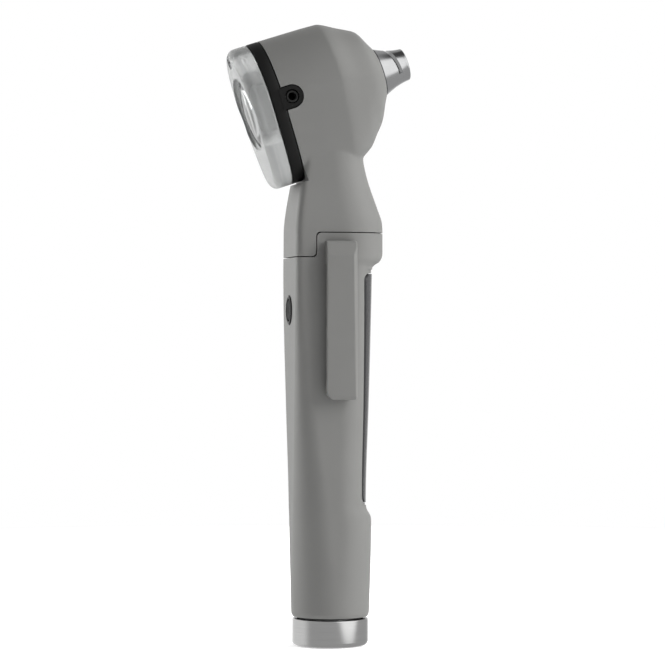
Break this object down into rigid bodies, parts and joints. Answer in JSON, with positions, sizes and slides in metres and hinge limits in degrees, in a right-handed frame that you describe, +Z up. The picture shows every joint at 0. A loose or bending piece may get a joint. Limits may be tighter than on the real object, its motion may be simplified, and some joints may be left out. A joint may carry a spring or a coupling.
{
  "type": "otoscope",
  "caption": "Pocket otoscope: tilted viewing head with swing-out magnifier, metal nose cone, air port, clip, push switch and battery handle with screw cap.",
  "frame": {"origin": "centre of the flat underside of the end cap", "axes": "+Z up the handle, +X towards the nose cone, -Y towards the pocket clip and air port"},
  "size_m": [0.0566, 0.029, 0.1886],
  "materials": {
    "grey_plastic": "fine satin moulded texture",
    "gloss_inlay": "dark gloss",
    "black_plastic": "matt black",
    "black_rubber": "soft matt",
    "clear_acrylic": "clear moulded acrylic",
    "lens_glass": "polished",
    "chrome_metal": "bright plated",
    "aluminium_parts": "machined",
    "turned_steel": "fine turned satin",
    "small_steel": "bright",
    "brass_contacts": "stamped",
    "circuit_board": "solder mask",
    "lamp_lens": "clear resin over phosphor",
    "battery_wrap": "shrink sleeve",
    "lead_insulation": "insulation"
  },
  "bodies": {
    "handle": {"head_shell": "grey_plastic", "handle_shell": "grey_plastic", "clip_root": "grey_plastic", "front_inlay": "gloss_inlay", "bezel_band": "black_plastic", "viewing_funnel": "black_plastic", "neck_chassis": "black_plastic", "button_bezel": "black_plastic", "tact_switch": "black_plastic", "battery_sleeve": "black_plastic", "insufflation_port": "black_rubber", "lens_seal": "black_rubber", "light_guide": "clear_acrylic", "nose_cone": "chrome_metal", "nose_nut": "aluminium_parts", "led_holder": "aluminium_parts", "thread_insert": "aluminium_parts", "lens_pivot_screw": "small_steel", "chassis_screw_left": "small_steel", "chassis_screw_right": "small_steel", "clip_screw_1": "small_steel", "clip_screw_2": "small_steel", "top_contact": "brass_contacts", "control_board": "circuit_board", "led_board": "circuit_board", "led_emitter": "lamp_lens", "battery_lower": "battery_wrap", "battery_upper": "battery_wrap", "led_lead_left": "lead_insulation", "led_lead_right": "lead_insulation"},
    "magnifier": {"lens_frame": "clear_acrylic", "magnifier_lens": "lens_glass"},
    "clip": {"clip_blade": "grey_plastic"},
    "button": {"power_button": "black_rubber", "switch_plunger": "small_steel"},
    "cap_contact": {"battery_spring": "small_steel", "spring_plate": "brass_contacts"},
    "cap": {"end_cap": "turned_steel", "cap_seal": "black_rubber"}
  },
  "joints": [
    {"name": "lens_swing", "type": "hinge", "parent": "handle", "child": "magnifier", "pos_m": [0.00969, 0, 0.19046], "axis": [0.9494, 0, 0.314], "range_deg": [-90, 90]},
    {"name": "clip_flex", "type": "hinge", "parent": "handle", "child": "clip", "pos_m": [0.0007, -0.01505, 0.1163], "axis": [-1, 0, 0], "range_deg": [0, 5], "stiffness_Nm_per_rad": 4},
    {"name": "button_press", "type": "slide", "parent": "handle", "child": "button", "axis": [1, 0, 0], "range_m": [0, 0.0004], "stiffness_N_per_m": 6000, "springref_m": -0.0001},
    {"name": "cap_travel", "type": "slide", "parent": "handle", "child": "cap_contact", "axis": [0, 0, -1], "range_m": [0, 0.0055]},
    {"name": "cap_turn", "type": "hinge", "parent": "cap_contact", "child": "cap", "pos_m": [0, 0, 0], "axis": [0, 0, 1], "range_deg": [-1440, 0]}
  ],
  "couplings": [
    {"joint": "cap_travel", "follows": "cap_turn", "m_per_rad": -0.00019894}
  ]
}
